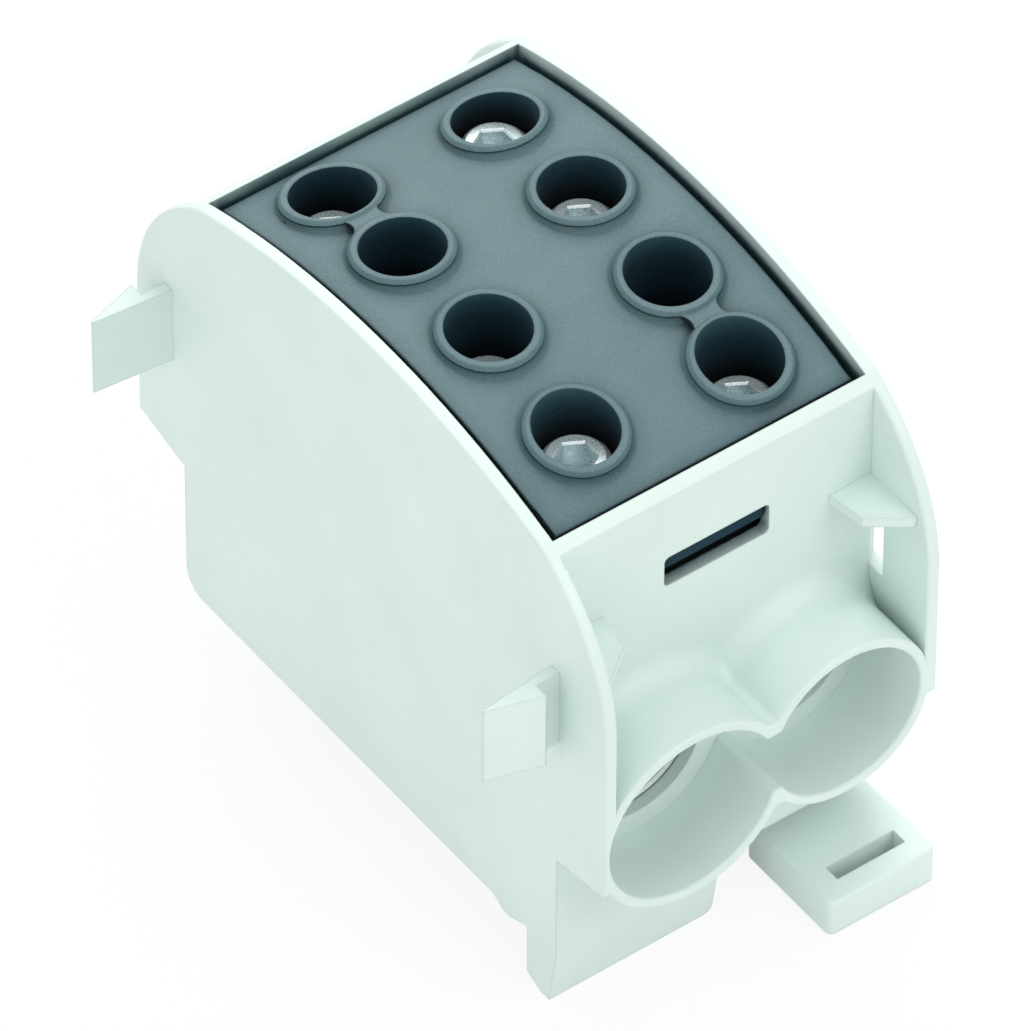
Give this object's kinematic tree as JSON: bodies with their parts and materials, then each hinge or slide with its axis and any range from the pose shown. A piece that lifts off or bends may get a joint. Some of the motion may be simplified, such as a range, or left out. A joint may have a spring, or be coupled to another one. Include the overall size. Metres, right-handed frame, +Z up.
{
  "type": "power distribution block",
  "caption": "Rail-mounted power distribution block with a pale arched housing, merged conductor funnels at both ends, recessed grey cover, clamp screws and a sliding rail latch.",
  "frame": {"origin": "middle of the block, on the plane that the mounting rail is screwed to", "axes": "+X along the mounting rail, -Y towards the front end with the latch, +Z up out of the rail"},
  "size_m": [0.055, 0.0876, 0.0754],
  "materials": {
    "housing_plastic": "fine matt moulding",
    "cover_plastic": "fine matt moulding",
    "tinned_bar": "dull tin plating",
    "screw_steel": "bright zinc plating"
  },
  "bodies": {
    "block": {"housing": "housing_plastic", "cover": "cover_plastic", "key_tubes": "cover_plastic", "current_bar": "tinned_bar"},
    "screw_1": {"clamp_screw_1": "screw_steel"},
    "screw_2": {"clamp_screw_2": "screw_steel"},
    "screw_3": {"clamp_screw_3": "screw_steel"},
    "screw_4": {"clamp_screw_4": "screw_steel"},
    "screw_5": {"clamp_screw_5": "screw_steel"},
    "screw_6": {"clamp_screw_6": "screw_steel"},
    "screw_7": {"clamp_screw_7": "screw_steel"},
    "screw_8": {"clamp_screw_8": "screw_steel"},
    "latch": {"rail_latch": "housing_plastic"}
  },
  "joints": [
    {"name": "screw_1_drive", "type": "slide", "parent": "block", "child": "screw_1", "axis": [0, 0, -1], "range_m": [0, 0.012]},
    {"name": "screw_2_drive", "type": "slide", "parent": "block", "child": "screw_2", "axis": [0, 0, -1], "range_m": [0, 0.012]},
    {"name": "screw_3_drive", "type": "slide", "parent": "block", "child": "screw_3", "axis": [0, 0, -1], "range_m": [0, 0.012]},
    {"name": "screw_4_drive", "type": "slide", "parent": "block", "child": "screw_4", "axis": [0, 0, -1], "range_m": [0, 0.012]},
    {"name": "screw_5_drive", "type": "slide", "parent": "block", "child": "screw_5", "axis": [0, 0, -1], "range_m": [0, 0.012]},
    {"name": "screw_6_drive", "type": "slide", "parent": "block", "child": "screw_6", "axis": [0, 0, -1], "range_m": [0, 0.012]},
    {"name": "screw_7_drive", "type": "slide", "parent": "block", "child": "screw_7", "axis": [0, 0, -1], "range_m": [0, 0.012]},
    {"name": "screw_8_drive", "type": "slide", "parent": "block", "child": "screw_8", "axis": [0, 0, -1], "range_m": [0, 0.012]},
    {"name": "latch_pull", "type": "slide", "parent": "block", "child": "latch", "axis": [0, -1, 0], "range_m": [0, 0.004]}
  ]
}
